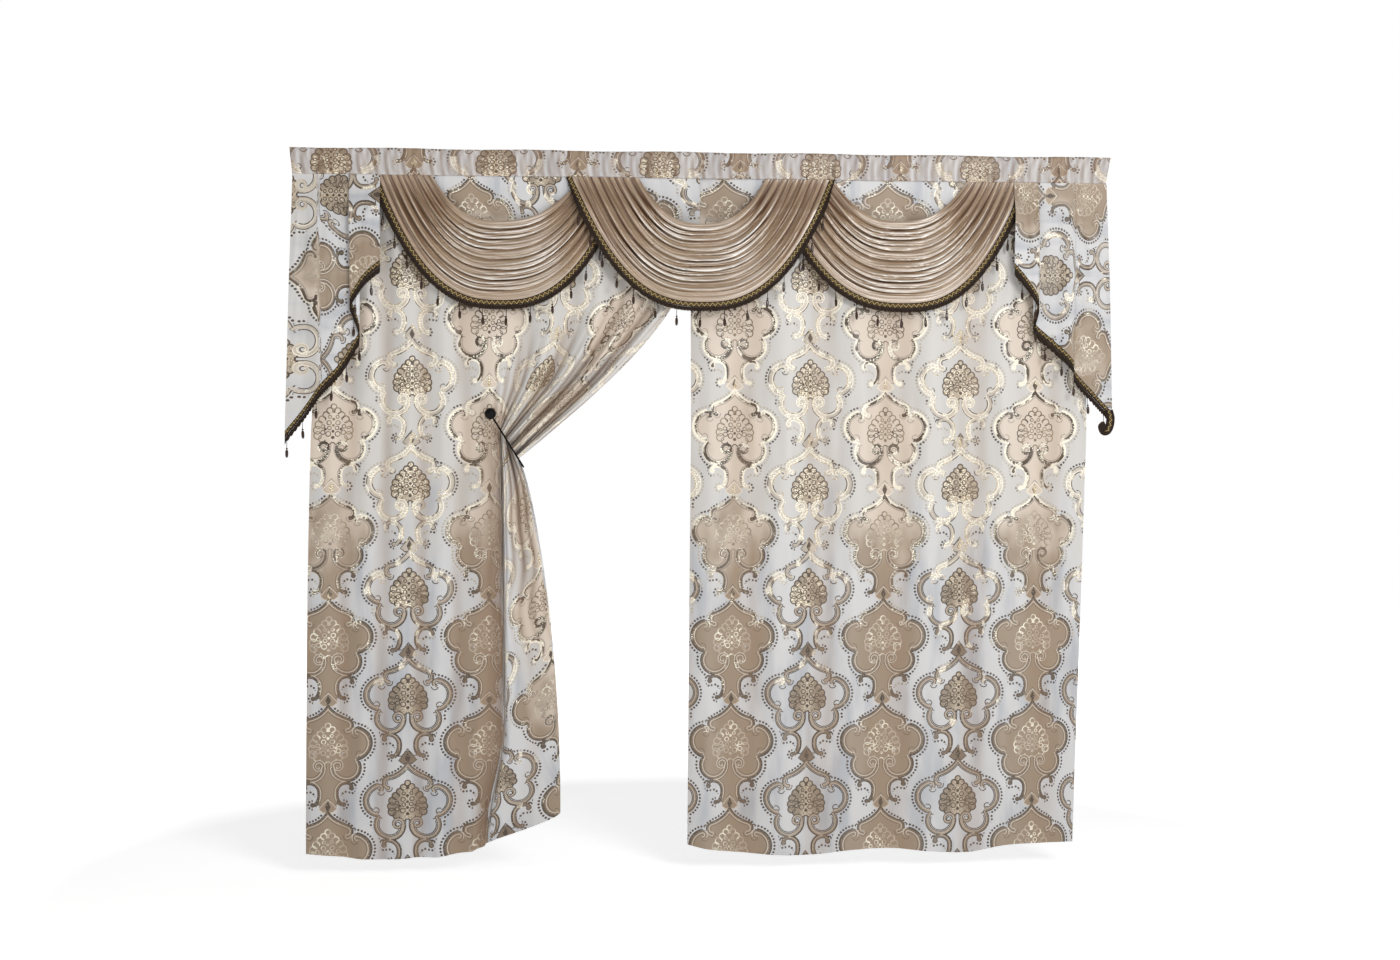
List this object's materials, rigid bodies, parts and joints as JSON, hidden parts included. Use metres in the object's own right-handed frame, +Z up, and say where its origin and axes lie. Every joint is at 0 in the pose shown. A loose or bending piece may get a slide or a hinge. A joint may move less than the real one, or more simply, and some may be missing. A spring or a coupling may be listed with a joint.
{
  "type": "tied-back curtain pair with swag valance",
  "caption": "Pair of damask blackout curtain panels under a pleated satin swag valance with side tails, one panel held by a magnetic tie-back.",
  "frame": {"origin": "middle of the heading's top edge, from which the whole curtain hangs", "axes": "+X to the right seen from the room, +Y towards the wall, +Z up"},
  "size_m": [2.8391, 0.1564, 2.4206],
  "materials": {
    "damask": "woven, slightly glossy",
    "satin": "satin",
    "braid": "matt with metallic thread",
    "fringe": "matt",
    "tie_ball": "satin",
    "tie_cord": "matt"
  },
  "bodies": {
    "root": {"heading": "damask", "panel_left": "damask", "panel_right": "damask", "swag_left": "satin", "swag_centre": "satin", "swag_right": "satin", "jabot_left": "damask", "jabot_right": "damask", "braid_swag_left": "braid", "braid_swag_centre": "braid", "braid_swag_right": "braid", "braid_jabot_left": "braid", "braid_jabot_right": "braid", "fringe_swag_left": "fringe", "fringe_swag_centre": "fringe", "fringe_swag_right": "fringe", "fringe_jabot_left": "fringe", "fringe_jabot_right": "fringe", "tie_ball_front": "tie_ball", "tie_ball_back": "tie_ball", "tie_cord": "tie_cord"}
  },
  "joints": []
}
